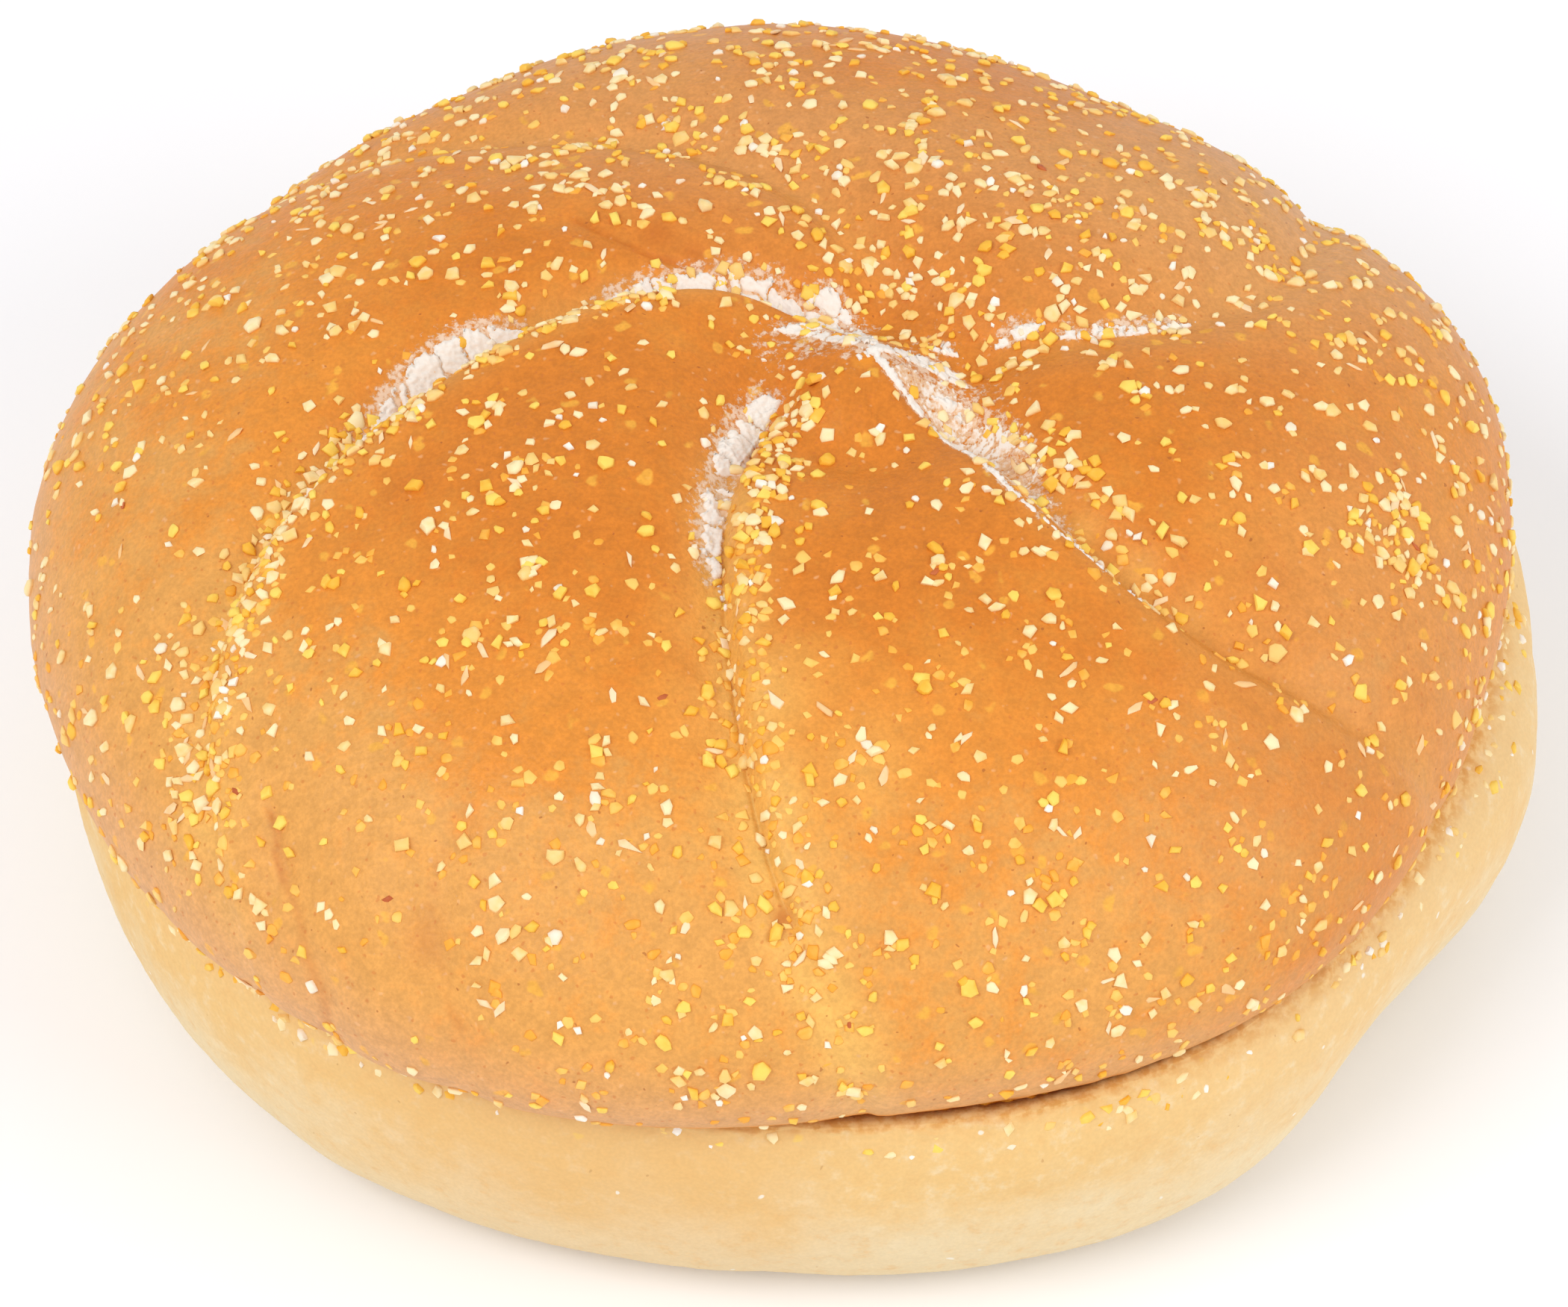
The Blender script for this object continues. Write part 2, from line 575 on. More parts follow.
def makeCrown(material):
    direction, share, level, rings, steps = crownGrid()
    dome = crownSurface(direction, share, level, skinRelief)
    rim = crownSkin["ragged"]
    ragged = ease(sliceForm["height"] + rim["run"] - dome[:, 2], 0, rim["run"])
    rough = rim["depth"] * grainNoise(dome, rim["size"], 3, 4) - rim["inward"]
    dome[:, :2] += onPlan(0, direction, ragged * rough)
    top = dome[:steps].mean(axis=0)
    stamp = np.append(crownForm["stamp"], 0)
    under = recessedFace(dome[-steps:], stamp, crownSkin, crownCutFace, 1)
    middle = stamp + (0, 0, sliceForm["height"] + sliceForm["gap"] + crownSkin["crumbRecess"])
    points = np.vstack([dome, *under, top, middle])
    rows = rings + len(under)
    faces = [*gridFaces(rows, steps, True)[:, ::-1], *fanFaces(len(points) - 2, 0, steps, False),
             *fanFaces(len(points) - 1, (rows - 1) * steps, steps, True)]
    piece = makePiece("crown_crust", points, faces, material, nodes=["crown"])
    paintCrown(piece, dome, direction, share)
    return dome.reshape(rings, steps, 3)


# Materials

def newMaterial(name, roughness, specular):
    material = bpy.data.materials.new(name)
    material.use_nodes = True
    tree = material.node_tree
    shader = tree.nodes["Principled BSDF"]
    shader.inputs["Roughness"].default_value = roughness
    shader.inputs["Specular IOR Level"].default_value = specular
    return material, tree, shader


def setSocket(tree, socket, value):
    if isinstance(value, bpy.types.NodeSocket):
        tree.links.new(value, socket)
    else:
        socket.default_value = value


def addNode(tree, kind, settings=None, sockets=(), **inputs):
    node = tree.nodes.new("ShaderNode" + kind)
    for name, value in (settings or {}).items():
        setattr(node, name, value)
    for index, value in enumerate(sockets):
        setSocket(tree, node.inputs[index], value)
    for name, value in inputs.items():
        setSocket(tree, node.inputs[name.replace("_", " ")], value)
    return node


def objectPlace(tree):
    return addNode(tree, "TexCoord").outputs["Object"]


def speckle(tree, size, detail, rough=0.5):
    # noise with features of that size, 0 to 1
    return addNode(tree, "TexNoise", Vector=objectPlace(tree), Scale=1 / size, Detail=detail,
                   Roughness=rough).outputs["Fac"]


def spots(tree, spacing, radius, soft, strength):
    # scattered uneven spots; the radius is a share of their spacing
    drift = addNode(tree, "TexNoise", Vector=objectPlace(tree), Scale=1.3 / spacing, Detail=2.0)
    place = addNode(tree, "VectorMath", {"operation": "MULTIPLY_ADD"},
                    (drift.outputs["Color"], (0.7 * spacing,) * 3, objectPlace(tree)))
    cells = addNode(tree, "TexVoronoi", Vector=place.outputs["Vector"], Scale=1 / spacing)
    inside = remap(tree, cells.outputs["Distance"], radius, radius * (1 - soft))
    return calc(tree, "MULTIPLY", inside, strength)


def remap(tree, value, start, end, low=0.0, high=1.0):
    return addNode(tree, "MapRange", {"interpolation_type": "SMOOTHSTEP"}, Value=value,
                   From_Min=start, From_Max=end, To_Min=low, To_Max=high).outputs["Result"]


def calc(tree, operation, a, b):
    return addNode(tree, "Math", {"operation": operation}, (a, b)).outputs["Value"]


def blendColour(tree, share, first, second, kind="MIX"):
    node = addNode(tree, "Mix", {"data_type": "RGBA", "blend_type": kind})
    for socket, value in zip((node.inputs["Factor"], node.inputs[6], node.inputs[7]), (share, first, second)):
        setSocket(tree, socket, value)
    return node.outputs[2]


def layered(tree, skin, look, **shares):
    # the look's colours laid over the first one, each by its share
    for name, share in shares.items():
        skin = blendColour(tree, share, skin, look[name])
    return skin


def stray(tree, value, grain, amount):
    # the value pushed up and down by a 0 to 1 noise
    return calc(tree, "ADD", value, calc(tree, "MULTIPLY", calc(tree, "SUBTRACT", grain, 0.5), amount))


def shaded(tree, skin, value, low, high):
    # the colour made lighter and darker by a 0 to 1 value
    grey = remap(tree, value, 0.30, 0.72, low, high)
    shade = addNode(tree, "CombineColor", Red=grey, Green=grey, Blue=grey)
    return blendColour(tree, 1.0, skin, shade.outputs["Color"], "MULTIPLY")


def colour(red, green, blue):
    # a colour as picked on screen, 0 to 255
    def linear(value):
        value /= 255
        return value / 12.92 if value <= 0.04045 else ((value + 0.055) / 1.055) ** 2.4
    return (linear(red), linear(green), linear(blue), 1)


def readPaint(tree, name):
    return addNode(tree, "Attribute", {"attribute_name": name}).outputs["Fac"]


def finishMaterial(tree, shader, skin, *bumps):
    tree.links.new(skin, shader.inputs["Base Color"])
    normal = shader.inputs["Normal"]
    for height, depth, strength in bumps:
        bump = addNode(tree, "Bump", Height=height, Distance=depth * mm, Strength=strength)
        if normal.is_linked:
            tree.links.new(normal.links[0].from_socket, bump.inputs["Normal"])
        tree.links.new(bump.outputs["Normal"], normal)


crustLook = {
    "roughness": 0.47,
    "brown": colour(212, 124, 38),
    "golden": colour(223, 140, 51),
    "pale": colour(224, 159, 80),
    "yellow": colour(238, 186, 98),
    "dull": colour(217, 161, 101),
    "rim": colour(219, 163, 108),
    "edge": colour(232, 140, 24),
    "burnt": colour(186, 94, 22),
    "flour": colour(234, 210, 186),
    "pore": colour(156, 84, 36),
    "pit": colour(198, 112, 48),
    "fleck": colour(234, 180, 130),
    "melted": colour(240, 174, 64),
    "flecks": (1.3 * mm, 0.17, 0.7, 0.45),      # spacing, radius as a share of it, softness, strength
    "melts": (2.9 * mm, 0.20, 0.45, 0.75),
    "pits": (0.9 * mm, 0.20, 0.6, 0.50),
    "pores": (1.8 * mm, 0.075, 0.4, 0.60),
    "rimHeight": (0.0335, 0.0245, 0.08),        # from, to, and how much lower it starts at the right
    "flourGrain": 2.8,
}


def crustMaterial():
    look = crustLook
    material, tree, shader = newMaterial("browned_crust", look["roughness"], 0.26)
    broad = speckle(tree, 16 * mm, 3.0)
    cloud = speckle(tree, 4.5 * mm, 4.0, 0.55)
    mottle = speckle(tree, 1.2 * mm, 4.0, 0.6)
    fine = speckle(tree, 0.32 * mm, 2.0, 0.6)
    bake = readPaint(tree, "bake")
    for layer, amount in ((broad, 0.7), (cloud, 0.9), (mottle, 0.8)):
        bake = stray(tree, bake, layer, amount)
    place = addNode(tree, "SeparateXYZ", Vector=objectPlace(tree)).outputs
    start, end, tilt = look["rimHeight"]
    height = calc(tree, "ADD", place["Z"], calc(tree, "MULTIPLY", place["X"], tilt))
    skin = layered(tree, look["pale"], look,
                   golden=remap(tree, bake, -0.05, 0.5), brown=remap(tree, bake, 0.5, 1.05),
                   yellow=calc(tree, "MULTIPLY", readPaint(tree, "yellow"), 0.8),
                   dull=readPaint(tree, "dull"), rim=remap(tree, height, start, end, 0.0, 0.85),
                   fleck=spots(tree, *look["flecks"]), melted=spots(tree, *look["melts"]))
    skin = shaded(tree, shaded(tree, skin, fine, 0.91, 1.06), mottle, 0.93, 1.08)
    dust = stray(tree, readPaint(tree, "flour"), speckle(tree, 0.55 * mm, 5.0, 0.7), look["flourGrain"])
    dust = remap(tree, dust, 0.52, 0.92)
    skin = layered(tree, skin, look, burnt=readPaint(tree, "burnt"), edge=readPaint(tree, "edge"),
                   pit=spots(tree, *look["pits"]), pore=spots(tree, *look["pores"]),
                   flour=calc(tree, "MULTIPLY", dust, 0.80))
    finishMaterial(tree, shader, skin, (cloud, 0.25, 0.4), (mottle, 0.18, 0.6), (fine, 0.06, 0.7),
                   (dust, 0.06, 0.5))
    return material


heelLook = {
    "upper": colour(230, 189, 122),
    "lower": colour(231, 210, 168),
    "toasted": colour(226, 176, 106),
    "pale": colour(237, 217, 178),
    "cutEdge": (colour(212, 144, 56), colour(235, 192, 128)),
    "fleck": colour(190, 138, 76),
    "white": colour(243, 233, 212),
    "grain": colour(242, 236, 222),
    "melted": colour(240, 200, 90),
    "flecks": (3.0 * mm, 0.05, 0.4, 0.55),
    "grains": (4.4 * mm, 0.07, 0.4, 0.8),
    "warmSides": ((0.010, -0.008, 0.0, 0.55), (-0.018, -0.040, 1.0, 0.15)),     # across, both ends of the band
    "warmHeights": (0.004, 0.016, 0.3, 1.0),
}


def heelMaterial():
    look = heelLook
    material, tree, shader = newMaterial("pale_crust", 0.8, 0.15)
    mottle = speckle(tree, 1.5 * mm, 5.0, 0.62)
    fine = speckle(tree, 0.3 * mm, 2.0)
    place = addNode(tree, "SeparateXYZ", Vector=objectPlace(tree)).outputs
    height, across = place["Z"], place["X"]
    rise = stray(tree, height, speckle(tree, 7 * mm, 3.0), 0.018)
    skin = layered(tree, look["lower"], look, upper=remap(tree, rise, 0.006, 0.020),
                   pale=remap(tree, mottle, 0.50, 0.75, 0.0, 0.55),
                   toasted=remap(tree, mottle, 0.50, 0.25, 0.0, 0.45))
    warm = calc(tree, "MULTIPLY", *(remap(tree, across, *side) for side in look["warmSides"]))
    warm = calc(tree, "MULTIPLY", warm, remap(tree, height, *look["warmHeights"]))
    skin = shaded(tree, blendColour(tree, warm, skin, look["toasted"]), fine, 0.97, 1.03)
    nearCut = remap(tree, height, 0.0190, 0.0215, 0.0, 0.6)
    skin = layered(tree, skin, look, melted=spots(tree, 2.4 * mm, 0.17, 0.6, nearCut),
                   fleck=spots(tree, *look["flecks"]), grain=spots(tree, *look["grains"]),
                   white=remap(tree, across, 0.018, 0.040, 0.05, 0.14))
    torn = blendColour(tree, remap(tree, speckle(tree, 0.8 * mm, 4.0, 0.6), 0.38, 0.62), *look["cutEdge"])
    skin = blendColour(tree, readPaint(tree, "ledge"), skin, torn)
    finishMaterial(tree, shader, skin, (mottle, 0.14, 0.6), (fine, 0.05, 0.5))
    return material


crumbLook = {"roughness": 0.9, "deep": colour(238, 142, 22), "raised": colour(246, 182, 66)}


def crumbMaterial():
    material, tree, shader = newMaterial("crumb", crumbLook["roughness"], 0.1)
    fluff = speckle(tree, 1.1 * mm, 5.0, 0.7)
    skin = blendColour(tree, remap(tree, fluff, 0.35, 0.65), crumbLook["deep"], crumbLook["raised"])
    finishMaterial(tree, shader, skin, (fluff, 0.3, 0.8))
    return material


flourLook = {"roughness": 1.0, "thin": colour(228, 184, 142), "thick": colour(243, 234, 224)}


def flourMaterial():
    material, tree, shader = newMaterial("flour", flourLook["roughness"], 0.05)
    powder = speckle(tree, 0.30 * mm, 5.0, 0.75)
    tone = stray(tree, readPaint(tree, "tone"), powder, 1.1)
    skin = blendColour(tree, remap(tree, tone, -0.30, 0.25), flourLook["thin"], flourLook["thick"])
    finishMaterial(tree, shader, skin, (powder, 0.08, 0.7))
    return material


def gritMaterial(kind):
    material, tree, shader = newMaterial(kind["name"], 0.5, 0.28)
    tone = stray(tree, readPaint(tree, "tone"), speckle(tree, 0.7 * mm, 1.0), 1.0)
    skin = layered(tree, kind["low"], kind, high=remap(tree, tone, 0.0, 1.0),
                   foot=remap(tree, readPaint(tree, "foot"), 0.55, 1.0, 0.0, 0.7))
    finishMaterial(tree, shader, skin, (speckle(tree, 0.25 * mm, 2.0), 0.02, 0.5))
    return material


# Heel

heelForm = {
    "centre": (-0.0007, 0.0000),
    "reach": (0.0551, 0.0540, 0.0496, 0.0512, 0.0501, 0.0527,
              0.0536, 0.0527, 0.0507, 0.0494, 0.0525, 0.0541),
    "profile": ((0.790, 0.0000), (0.835, 0.0002), (0.880, 0.0009), (0.925, 0.0025), (0.960, 0.0052),
                (0.984, 0.0088), (0.997, 0.0128), (1.001, 0.0168), (0.997, 0.0200), (0.988, 0.0224),
                (0.980, sliceForm["height"])),
    "flank": {"towards": (-33, 12), "depth": 0.0035, "power": 0.8},     # direction and width in degrees
    "corner": {"towards": (-12, 12), "bulge": 0.0015},
    "shoulder": {"towards": (-22, 38), "depth": 0.0026, "foot": 0.74, "power": 2.2},
    "steps": 560,
    "rings": 110,
    "soleRings": (0.02, 0.5, 0.9),
    "crumbInset": 1.2 * mm,
    "crumbRecess": 0.3 * mm,
    "faceRadius": 0.052,
    "faceRings": 8,
}

heelSkin = {
    "layers": ((8 * mm, 0.20 * mm, 2), (1.8 * mm, 0.05 * mm, 3), (0.7 * mm, 0.03 * mm, 2)),
    "seed": 5,
    "inward": 0.12 * mm,
    "heights": (0.0001, 0.003),
    "torn": (1.0 * mm, 0.30 * mm, (0.0216, 0.0228)),        # size, depth and heights of the torn edge
    "ledge": ((0.8, 0.0212, 0.0229), (0.65, 0.0225, 0.0230)),   # cut colour at the shoulder, and all round
}


def heelOutline(direction, height):
    flank, corner, shoulder = heelForm["flank"], heelForm["corner"], heelForm["shoulder"]
    part = np.clip(height / sliceForm["height"], 0, 1)
    dent = flank["depth"] * towards(direction, *flank["towards"]) * (1 - part) ** flank["power"]
    bulge = corner["bulge"] * towards(direction, *corner["towards"]) * 4 * part * (1 - part)
    roundOver = np.clip((part - shoulder["foot"]) / (1 - shoulder["foot"]), 0, 1) ** shoulder["power"]
    rounded = shoulder["depth"] * towards(direction, *shoulder["towards"]) * roundOver
    return periodic(heelForm["reach"], direction) - dent + bulge - rounded


def heelSide(direction, share, height):
    reach = share * heelOutline(direction, height)
    return np.column_stack([onPlan(heelForm["centre"], direction, reach), height])


def makeHeel(material):
    steps, rings = heelForm["steps"], heelForm["rings"]
    curve = curveThrough(heelForm["profile"], rings)
    curve[:, 1] = np.clip(curve[:, 1], 0, sliceForm["height"])
    share, height = np.repeat(curve[:, 0], steps), np.repeat(curve[:, 1], steps)
    direction = np.tile(np.linspace(0, 2 * math.pi, steps, endpoint=False), rings)
    side = heelSide(direction, share, height)
    dents = unevenness(side, heelSkin["layers"], heelSkin["seed"])
    dents = (dents + heelSkin["inward"]) * ease(height, *heelSkin["heights"])
    size, depth, heights = heelSkin["torn"]
    torn = depth * (grainNoise(side, size, 4, 13) + 0.3) * ease(height, *heights)
    side[:, :2] -= onPlan(0, direction, dents + torn)
    centre = np.array([*heelForm["centre"], 0])
    sole = [centre + (side[:steps] - centre) * (inward, inward, 1) for inward in heelForm["soleRings"]]
    top = recessedFace(side[-steps:], centre, heelForm, heelCutFace, -1)
    middle = centre + (0, 0, sliceForm["height"] - heelForm["crumbRecess"])
    points = np.vstack([*sole, side, *top, centre, middle])
    rows = len(sole) + rings + len(top)
    faces = [*gridFaces(rows, steps, True), *fanFaces(len(points) - 2, 0, steps, True),
             *fanFaces(len(points) - 1, (rows - 1) * steps, steps, False)]
    piece = makePiece("heel_crust", points, faces, material, nodes=["heel"])
    around = np.arctan2(points[:, 1], points[:, 0])
    atShoulder, allRound = (most * ease(points[:, 2], low, high) for most, low, high in heelSkin["ledge"])
    atShoulder = atShoulder * towards(around, *heelForm["shoulder"]["towards"])
    paint(piece, "ledge", np.maximum(atShoulder, allRound))


crumbFace = {"pore": 0.30 * mm, "slab": 0.45 * mm, "under": 0.06 * mm, "steps": 420, "rings": 80}


def makeCrumb(name, centre, outline, faceHeight, up, material):
    # a slab of open crumb that fills the recess of a cut face; up is 1 for the heel and -1 for the crown
    steps, rings = crumbFace["steps"], crumbFace["rings"]
    share = np.repeat(np.linspace(0.02, 1, rings) ** 0.8, steps)
    direction = np.tile(np.linspace(0, 2 * math.pi, steps, endpoint=False), rings)
    x, y = onPlan(centre, direction, share * outline(direction)).T
    flat = np.column_stack([x, y, 0 * x])
    pores = np.clip(grainNoise(flat, 1.3 * mm, 3, 9 + up), 0, 1) + 0.3 * grainNoise(flat, 0.5 * mm, 2, 8)
    face = faceHeight(x, y) - up * (crumbFace["under"] + crumbFace["pore"] * np.clip(pores, 0, 1))
    back = faceHeight(x, y) - up * (crumbFace["under"] + crumbFace["pore"] + crumbFace["slab"])
    front, rear = np.column_stack([x, y, face]), np.column_stack([x, y, back])
    count = len(front)
    points = np.vstack([front, rear, front[:steps].mean(axis=0), rear[:steps].mean(axis=0)])
    strip = gridFaces(rings, steps, True)
    last = (rings - 1) * steps
    around = last + np.arange(steps)
    after = last + (np.arange(steps) + 1) % steps
    faces = [*strip[:, ::-1], *(strip + count), *fanFaces(2 * count, 0, steps, False),
             *fanFaces(2 * count + 1, count, steps, True),
             *np.column_stack([around, count + around, count + after, after])]
    if up < 0:
        faces = [face[::-1] for face in faces]
    makePiece(name, points, faces, material)


# Corn grits

gritKinds = table(  # how common at the back, at the front and on the heel; length in mm, shares of it
    "name back front heel length width thick sunk low high foot",
    ("grits_pale", 0.50, 0.27, 0.50, (0.55, 1.60), (0.5, 1.0), (0.34, 0.55), (0.30, 0.55),
     colour(242, 200, 116), colour(247, 229, 180), colour(224, 152, 70)),
    ("grits_yellow", 0.27, 0.20, 0.32, (0.55, 1.55), (0.55, 1.0), (0.38, 0.60), (0.30, 0.55),
     colour(242, 180, 56), colour(248, 214, 100), colour(220, 140, 44)),
    ("grits_white", 0.06, 0.04, 0.18, (0.45, 1.20), (0.6, 1.0), (0.45, 0.65), (0.25, 0.45),
     colour(243, 226, 196), colour(246, 240, 228), colour(238, 196, 138)),
    ("grits_amber", 0.12, 0.50, 0.0, (0.52, 1.36), (0.6, 1.0), (0.32, 0.50), (0.58, 0.76),
     colour(240, 166, 54), colour(246, 199, 102), colour(220, 140, 52)),
    ("husk_flakes", 0.035, 0.035, 0.0, (1.0, 2.1), (0.22, 0.5), (0.10, 0.18), (0.20, 0.50),
     colour(240, 192, 130), colour(245, 219, 178), colour(232, 170, 100)),
)

branFlecks = {"name": "bran_flecks", "length": (0.7, 1.2), "width": (0.4, 0.7), "thick": (0.15, 0.3),
              "sunk": (0.3, 0.5), "low": colour(176, 84, 40), "high": colour(206, 112, 62),
              "foot": colour(190, 100, 44),
              "at": ((-38.4, -30.6), (9.7, -19.7), (-27.6, -40.3), (43.8, -9.7), (-47.6, -5.3), (3.7, -48.4),
                     (-9.0, -29.0), (24.5, -28.0), (18.0, 20.2))}

scatterPlan = {
    "seed": 5,
    "loose": 4750,                  # draws over the whole crust
    "apart": 0.42 * mm,
    "clumping": 2.4,
    "clumpSize": 2.3 * mm,
    "everywhere": 0.72,
    "back": (0.85, 0.0, 0.030),     # how much more there, from and to
    "right": (0.30, 0.005, 0.035),
    "bare": (1.0 * mm, 3.5 * mm),   # height above the cut over which they set in
    "inside": (0.005, 0, 0.010),    # a point inside the roll
    "small": (1.6, 2.4),            # how the lengths spread
    "lean": 0.13,
    "sharp": math.radians(46),
}

chipForm = {
    "forms": 36,
    "corners": (4, 8),
    "uneven": 0.40,                 # shares of the step between corners
    "radius": (0.65, 1.15),
    "slant": 0.10,
    "levels": ((-0.5, 0.80), (-0.05, 1.0), (0.28, 0.90)),       # height and width
    "top": (0.45, 0.72),
    "jitter": (0.93, 1.07),
    "bumps": 0.10,
}

gritPatches = (   # x, y and radius in mm, how much thicker
    (41.5, -9.2, 3.0, 10.0), (9, 12.5, 7.0, 2.3), (21, 12, 7.0, 2.0), (5.5, 11.5, 3.0, 3.0),
    (34, 15, 6.0, 1.0), (34, 5, 4.0, -0.8), (29, 28, 6.0, -0.8), (-1, 20, 7.0, 1.6),
    (-18, 33, 8.0, 1.0), (-36, 9, 6.0, 1.5), (-20, 5, 3.5, 0.6), (-28, 4, 4.0, -0.6),
    (-41, -8, 5.0, -0.5), (-4, 3, 4.0, 0.6), (-18, -7, 5.0, 1.6), (-18, -14, 4.5, 1.8),
    (-28, -20, 6.0, 1.9), (-27, -28, 4.0, 0.7), (-16.5, -24, 2.2, 2.5), (10, -20, 6.5, 1.6),
    (18, -22, 4.0, 0.8), (13, 4.5, 5.0, 1.8), (22, 4, 4.0, 1.2), (25.1, -1.0, 1.8, 4.0),
    (33.5, -1.7, 1.8, 4.0), (39.9, 6.3, 1.8, 4.0), (17.5, -7.9, 2.0, 4.0), (42, -19, 5.0, -0.5),
    (-38, -36, 6.0, -0.6), (-27, -44, 4.5, -0.6), (-19.5, -39, 4.0, 1.6), (-12, -36, 3.5, 0.9),
    (-5, -42, 4.0, 1.0), (10, -36, 5.0, 1.2), (-5, -49, 8.0, 1.5), (20, -42, 6.0, 1.6),
    (33, -37, 4.0, 0.7),
)

gritLines = table(      # beside which grits have rolled: along a cut, or a path in mm on the plan
    "cut run offset spread count", (2, (17.0, 39.0), (-1.4, -1.5), 0.6, 240),
) + table(
    "path spread count",
    (((-30.0, -2.4), (-32.8, -4.7), (-35.2, -7.8), (-36.6, -11), (-37.8, -14)), 0.9, 230),
    (((-37.6, -14), (-39.0, -17.5), (-40.0, -21), (-40.6, -25), (-41.0, -28), (-41.0, -31.5)), 1.5, 330),
    (((-41.0, -31), (-39.8, -34), (-37.7, -37.2), (-35.6, -39.6), (-33.5, -41.6)), 1.1, 30),
    (((0.6, -1.6), (-0.6, -4.6), (-1.6, -8.5), (-2.2, -12), (-2.8, -16), (-3.4, -20)), 0.95, 230),
    (((-3.4, -19), (-3.7, -23), (-3.8, -27), (-3.4, -30), (-2.7, -33.5)), 1.2, 150),
    (((-1.7, -36), (-0.6, -39.5), (0.2, -42.5), (1.1, -45.3), (2.3, -48.1)), 1.4, 70),
    (((13.6, -2.2), (16.4, -6.0), (19.0, -9.2), (22.0, -12.8)), 1.0, 60),
    (((20.5, -13), (24, -16.5), (28, -19), (34, -21.5)), 1.6, 40),
)

heelGrits = table(      # along the heel's side: degrees, height in mm
    "turn height count",
    ((-72, 6), (20.2, 22.3), 110), ((-150, -118), (21.0, 22.9), 46), ((-118, -72), (20.5, 22.6), 14),
)
heelGritDepth = 0.24 * mm


def chipLibrary(draw):
    # low convex chips of unit length, widest a little under the middle, with a smaller face on top
    forms = []
    for _ in range(chipForm["forms"]):
        corners = draw.integers(*chipForm["corners"])
        uneven = draw.uniform(-chipForm["uneven"], chipForm["uneven"], corners)
        angles = 2 * math.pi * (np.arange(corners) + uneven) / corners
        radii = draw.uniform(*chipForm["radius"], corners)
        chip = bmesh.new()
        slant = draw.normal(0, chipForm["slant"], 2)
        for level, scale in (*chipForm["levels"], (0.5, draw.uniform(*chipForm["top"]))):
            jitter = draw.uniform(*chipForm["jitter"], corners)
            for angle, radius, stretch in zip(angles, radii, jitter):
                reach = radius * scale * stretch
                chip.verts.new((reach * math.cos(angle) + slant[0] * level,
                                reach * math.sin(angle) + slant[1] * level,
                                level + draw.uniform(-chipForm["bumps"], chipForm["bumps"])))
        bmesh.ops.convex_hull(chip, input=chip.verts)
        bmesh.ops.delete(chip, geom=[v for v in chip.verts if not v.link_faces], context="VERTS")
        bmesh.ops.triangulate(chip, faces=chip.faces)
        bmesh.ops.recalc_face_normals(chip, faces=chip.faces)
        chip.verts.index_update()
        points = np.array([v.co for v in chip.verts])
        span = np.ptp(points, axis=0)
        points = (points - points.min(axis=0) - span / 2) / span
        forms.append((points, np.array([[v.index for v in face.verts] for face in chip.faces])))
        chip.free()
    return forms


def gritDensity(points):
    more, start, end = scatterPlan["back"]
    wanted = scatterPlan["everywhere"] + more * ease(points[:, 1], start, end)
    more, start, end = scatterPlan["right"]
    wanted += more * ease(points[:, 0], start, end)
    for x, y, radius, gain in gritPatches:
        wanted += gain * spotBell(points[:, :2], x, y, radius)
    clumps = grainNoise(points, scatterPlan["clumpSize"], 2, 11)
    wanted = np.clip(wanted, 0.1, None) * np.exp(scatterPlan["clumping"] * clumps)
    bottom, top = scatterPlan["bare"]
    return wanted * ease(points[:, 2], sliceForm["height"] + bottom, sliceForm["height"] + top)


def scatterOnCrown(crownPoints, draw):
    # places on the crown's quads, drawn by area and density
    beside = np.roll(crownPoints, -1, axis=1)
    corners = np.stack([crownPoints[:-1], beside[:-1], beside[1:], crownPoints[1:]], axis=2).reshape(-1, 4, 3)
    area = np.cross(corners[:, 2] - corners[:, 0], corners[:, 3] - corners[:, 1])
    size = np.linalg.norm(area, axis=1)
    weights = size * gritDensity(corners.mean(axis=1))
    picked = draw.choice(len(weights), size=scatterPlan["loose"], p=weights / weights.sum())
    u, v = draw.uniform(0, 1, (2, len(picked), 1))
    a, b, c, d = corners[picked].transpose(1, 0, 2)
    normals = area[picked] / size[picked, None]
    outward = ((a - scatterPlan["inside"]) * normals).sum(axis=1, keepdims=True)
    return (a * (1 - u) + b * u) * (1 - v) + (d * (1 - u) + c * u) * v, normals * np.sign(outward)


def scatterAlong(line, draw):
    if "cut" in line:
        curve = cutPath(cuts[line["cut"]], line["run"], line["offset"])
    else:
        curve = curveThrough(line["path"], 200) * mm
    count = line["count"]
    plan = curve[draw.integers(0, len(curve), count)] + draw.normal(0, line["spread"] * mm, (count, 2))
    return crustAbove(plan), crustNormals(plan)


def scatterOnHeel(band, draw):
    direction = np.radians(draw.uniform(*band["turn"], band["count"]))
    height = draw.uniform(*band["height"], band["count"]) * mm
    shares, heights = np.array(heelForm["profile"]).T
    higher = height + 0.2 * mm
    here = heelSide(direction, np.interp(height, heights, shares), height)
    up = heelSide(direction, np.interp(higher, heights, shares), higher) - here
    beside = heelSide(direction + 0.004, np.interp(height, heights, shares), height) - here
    normal = unit(np.cross(beside, up))
    return here - heelGritDepth * normal, normal


def spaced(points, apart):
    # which points to keep, in order, so that none lie closer than that
    cells, kept = {}, []
    around = [(i, j, k) for i in (-1, 0, 1) for j in (-1, 0, 1) for k in (-1, 0, 1)]
    for index, point in enumerate(points):
        key = tuple(np.floor(point / apart).astype(int))
        near = [other for i, j, k in around for other in cells.get((key[0] + i, key[1] + j, key[2] + k), ())]
        if all(((point - points[other]) ** 2).sum() > apart ** 2 for other in near):
            cells.setdefault(key, []).append(index)
            kept.append(index)
    return np.array(kept)


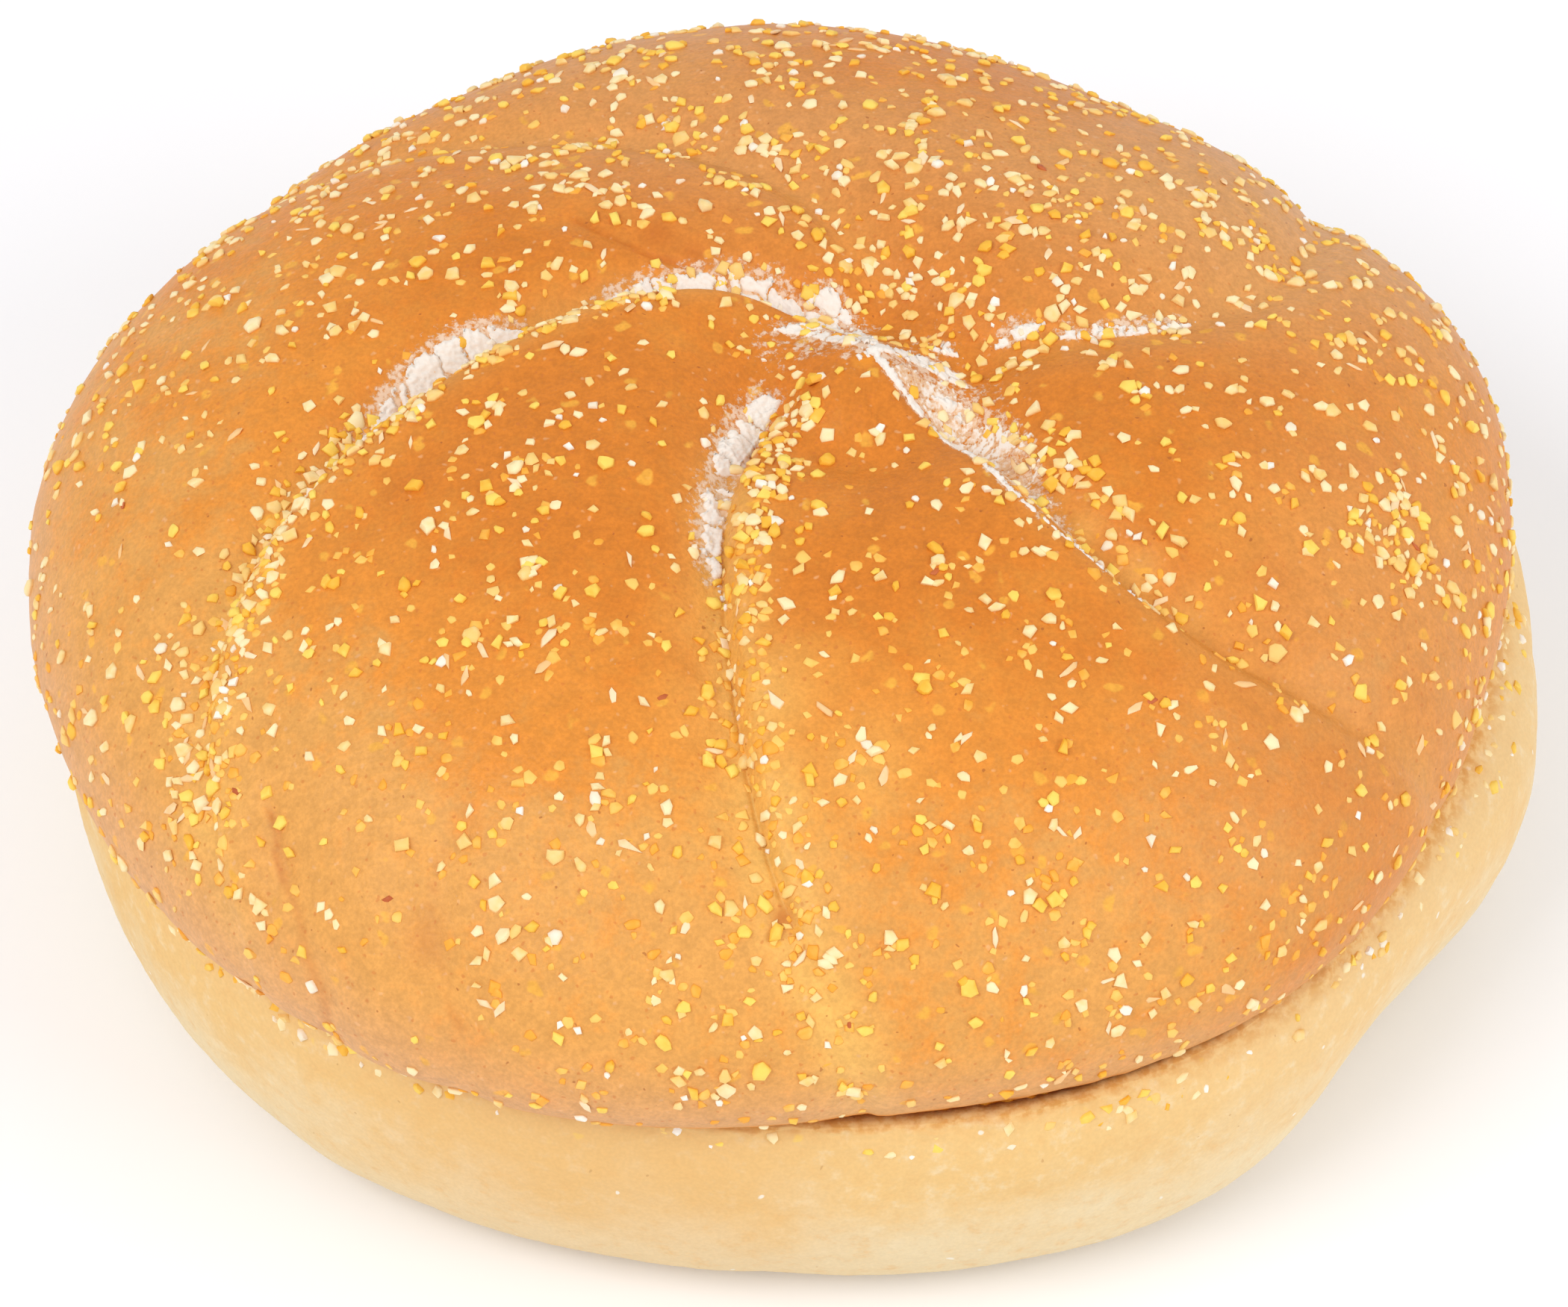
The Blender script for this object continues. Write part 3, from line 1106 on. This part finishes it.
def makeGrits(kind, points, normals, forms, draw):
    count = len(points)
    small = draw.beta(*scatterPlan["small"], count)
    length = (kind["length"][0] + small * (kind["length"][1] - kind["length"][0])) * mm
    size = np.column_stack([length, length * draw.uniform(*kind["width"], count),
                            length * draw.uniform(*kind["thick"], count)])
    sunk = draw.uniform(*kind["sunk"], count)
    spin = draw.uniform(0, 2 * math.pi, count)
    lean = draw.normal(0, scatterPlan["lean"], (count, 2))
    pick = draw.integers(0, len(forms), count)
    corners, faces, tones, feet, offset = [], [], [], [], 0
    for i in range(count):
        facing = Vector(normals[i]).to_track_quat("Z", "Y").to_matrix()
        turn = facing @ Matrix.Rotation(spin[i], 3, "Z") @ Matrix.Rotation(lean[i, 0], 3, "X")
        turn = np.array(turn @ Matrix.Rotation(lean[i, 1], 3, "Y"))
        shape, triangles = forms[pick[i]]
        raised = (shape * size[i]) @ turn.T + normals[i] * size[i, 2] * (0.5 - sunk[i])
        corners.append(raised + points[i])
        onHeel = points[i][2] < sliceForm["height"]
        feet.append((1 - (raised @ normals[i]) / (size[i, 2] * (1 - sunk[i]))) * (not onHeel))
        faces.append(triangles + offset)
        tones.append(np.full(len(shape), draw.uniform(0, 1)))
        offset += len(shape)
    piece = makePiece(kind["name"], np.vstack(corners), np.vstack(faces), gritMaterial(kind))
    piece.data.set_sharp_from_angle(angle=scatterPlan["sharp"])
    paint(piece, "tone", np.concatenate(tones))
    paint(piece, "foot", np.concatenate(feet))


def makeAllGrits(crownPoints):
    draw = np.random.default_rng(scatterPlan["seed"])
    forms = chipLibrary(draw)
    batches = [scatterAlong(line, draw) for line in gritLines]
    batches += [scatterOnHeel(band, draw) for band in heelGrits]
    batches.append(scatterOnCrown(crownPoints, draw))
    places, facings = (np.vstack(parts) for parts in zip(*batches))
    kept = spaced(places, scatterPlan["apart"])
    places, facings = places[kept], facings[kept]
    front = ease(-places[:, 1], 0.002, 0.030)[:, None]
    atBack, atFront, onHeel = np.array([(kind["back"], kind["front"], kind["heel"]) for kind in gritKinds]).T
    common = atBack * (1 - front) + atFront * front
    common[places[:, 2] < sliceForm["height"]] = onHeel
    common /= common.sum(axis=1, keepdims=True)
    chosen = (draw.uniform(0, 1, (len(places), 1)) > np.cumsum(common, axis=1)).sum(axis=1)
    print("grits", len(places))
    for index, kind in enumerate(gritKinds):
        mine = np.flatnonzero(chosen == index)
        makeGrits(kind, places[mine], facings[mine], forms, draw)
    specks = np.array(branFlecks["at"]) * mm
    makeGrits(branFlecks, crustAbove(specks), crustNormals(specks), forms, draw)


# Building it

crownPoints = makeCrown(crustMaterial())
makeHeel(heelMaterial())
crumb = crumbMaterial()
makeCrumb("crown_crumb", crownForm["stamp"],
          lambda d: periodic(crownForm["reach"], d) * (1 - crownForm["tuck"]) - 1.1 * mm,
          crownCutFace, -1, crumb)
makeCrumb("heel_crumb", heelForm["centre"],
          lambda d: 0.980 * heelOutline(d, sliceForm["height"]) - 0.9 * mm, heelCutFace, 1, crumb)
makeFlour(flourMaterial())
makeAllGrits(crownPoints)


# Stage, light and camera

stageSet = {"floor": colour(250, 250, 253), "floorSize": 3.0, "sky": 0.74}
lights = table("name at size power", ("key", (-0.50, -0.40, 0.75), 0.6, 3.6),
               ("fill", (0.70, -0.35, 0.50), 0.6, 2.5))
cameraSet = {"target": Vector((-0.0007, -0.00585, 0.0240)), "distance": 0.5, "elevation": 49, "lens": 158.14}


def makeStage():
    size = stageSet["floorSize"]
    data = bpy.data.meshes.new("floor")
    corners = [(-size, -size, 0), (size, -size, 0), (size, size, 0), (-size, size, 0)]
    data.from_pydata(corners, [], [(0, 1, 2, 3)])
    floor = addObject("floor", data)
    material, _, shader = newMaterial("floor", 0.9, 0.1)
    shader.inputs["Base Color"].default_value = stageSet["floor"]
    data.materials.append(material)
    world = bpy.data.worlds.new("studio")
    world.use_nodes = True
    sky = world.node_tree.nodes["Background"]
    sky.inputs["Color"].default_value = (1, 1, 1, 1)
    sky.inputs["Strength"].default_value = stageSet["sky"]
    bpy.context.scene.world = world


def makeLight(name, at, size, power):
    light = bpy.data.lights.new(name, "AREA")
    light.shape = "DISK"
    light.size = size
    light.energy = power
    lamp = addObject(name, light)
    lamp.location = at
    lamp.rotation_euler = (cameraSet["target"] - Vector(at)).to_track_quat("-Z", "Y").to_euler()


def makeCamera():
    camera = addObject("camera", bpy.data.cameras.new("camera"))
    tilt = math.radians(cameraSet["elevation"])
    camera.location = cameraSet["target"] + cameraSet["distance"] * Vector((0, -math.cos(tilt), math.sin(tilt)))
    camera.rotation_euler = (math.pi / 2 - tilt, 0, 0)
    camera.data.sensor_width = 36
    camera.data.lens = cameraSet["lens"]
    camera.data.clip_start = 0.01
    bpy.context.scene.camera = camera
    bpy.context.scene.view_settings.view_transform = "Standard"


makeStage()
for light in lights:
    makeLight(**light)
makeCamera()
print("stage, lights and camera made")

print("sizes written")
